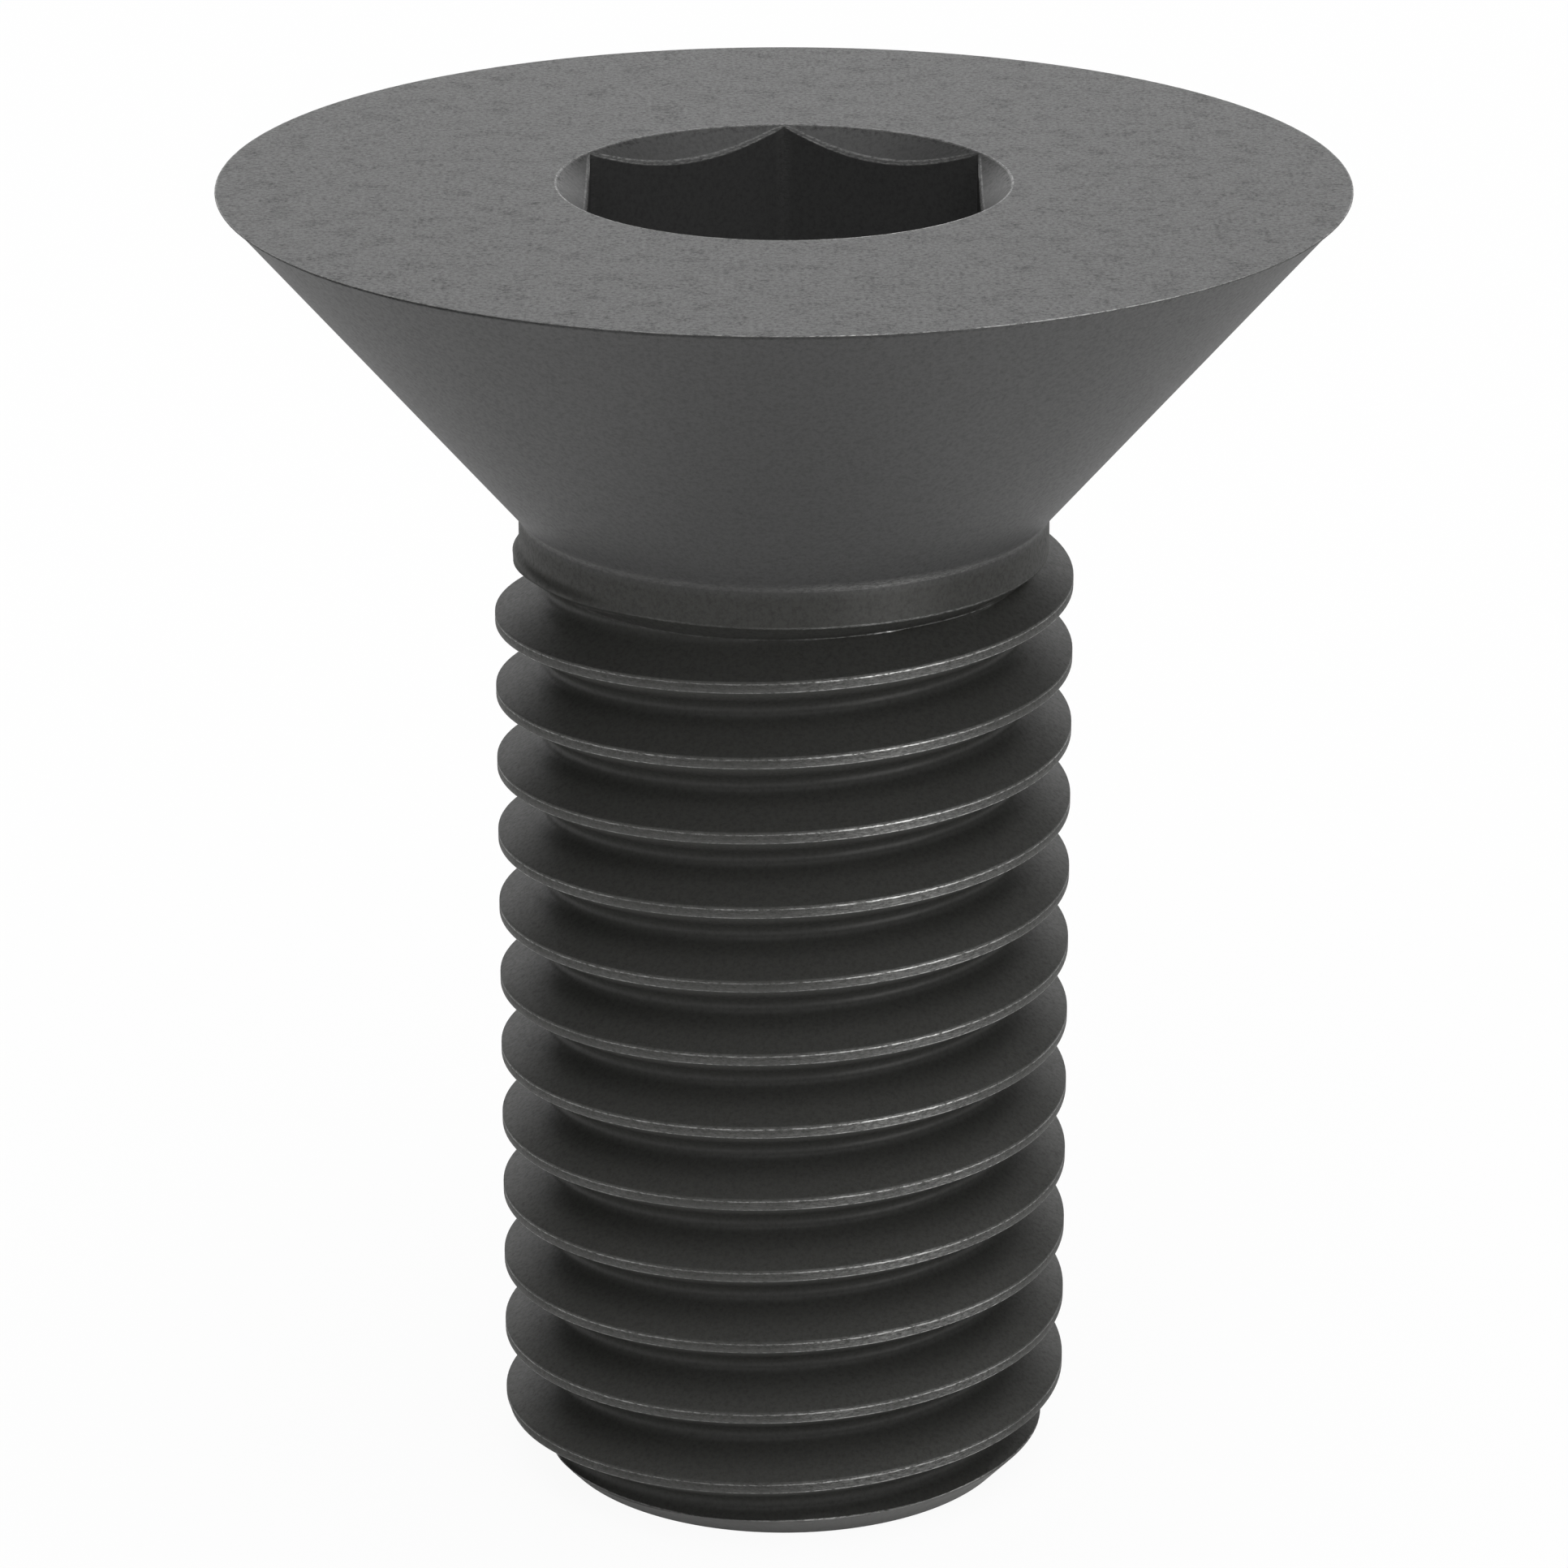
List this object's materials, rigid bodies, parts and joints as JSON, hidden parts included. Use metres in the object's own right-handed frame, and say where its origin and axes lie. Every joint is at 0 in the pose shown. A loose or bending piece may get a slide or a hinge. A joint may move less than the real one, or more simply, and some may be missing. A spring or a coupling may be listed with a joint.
{
  "type": "countersunk socket screw",
  "caption": "Countersunk screw: flat-topped conical head with a hexagon socket, short plain neck, coarse right-hand thread down to a chamfered flat point.",
  "frame": {"origin": "centre of the point's flat end face, on which the screw stands", "axes": "+Z along the screw's axis from the point to the head; two corners of the hexagon socket lie on Y, and two of its flats face X"},
  "size_m": [0.0366, 0.0366, 0.0444],
  "materials": {
    "black_oxide_steel": "black oxide on alloy steel, satin, faintly mottled, with lighter worn edges"
  },
  "bodies": {
    "root": {"socket_screw": "black_oxide_steel"}
  },
  "joints": []
}
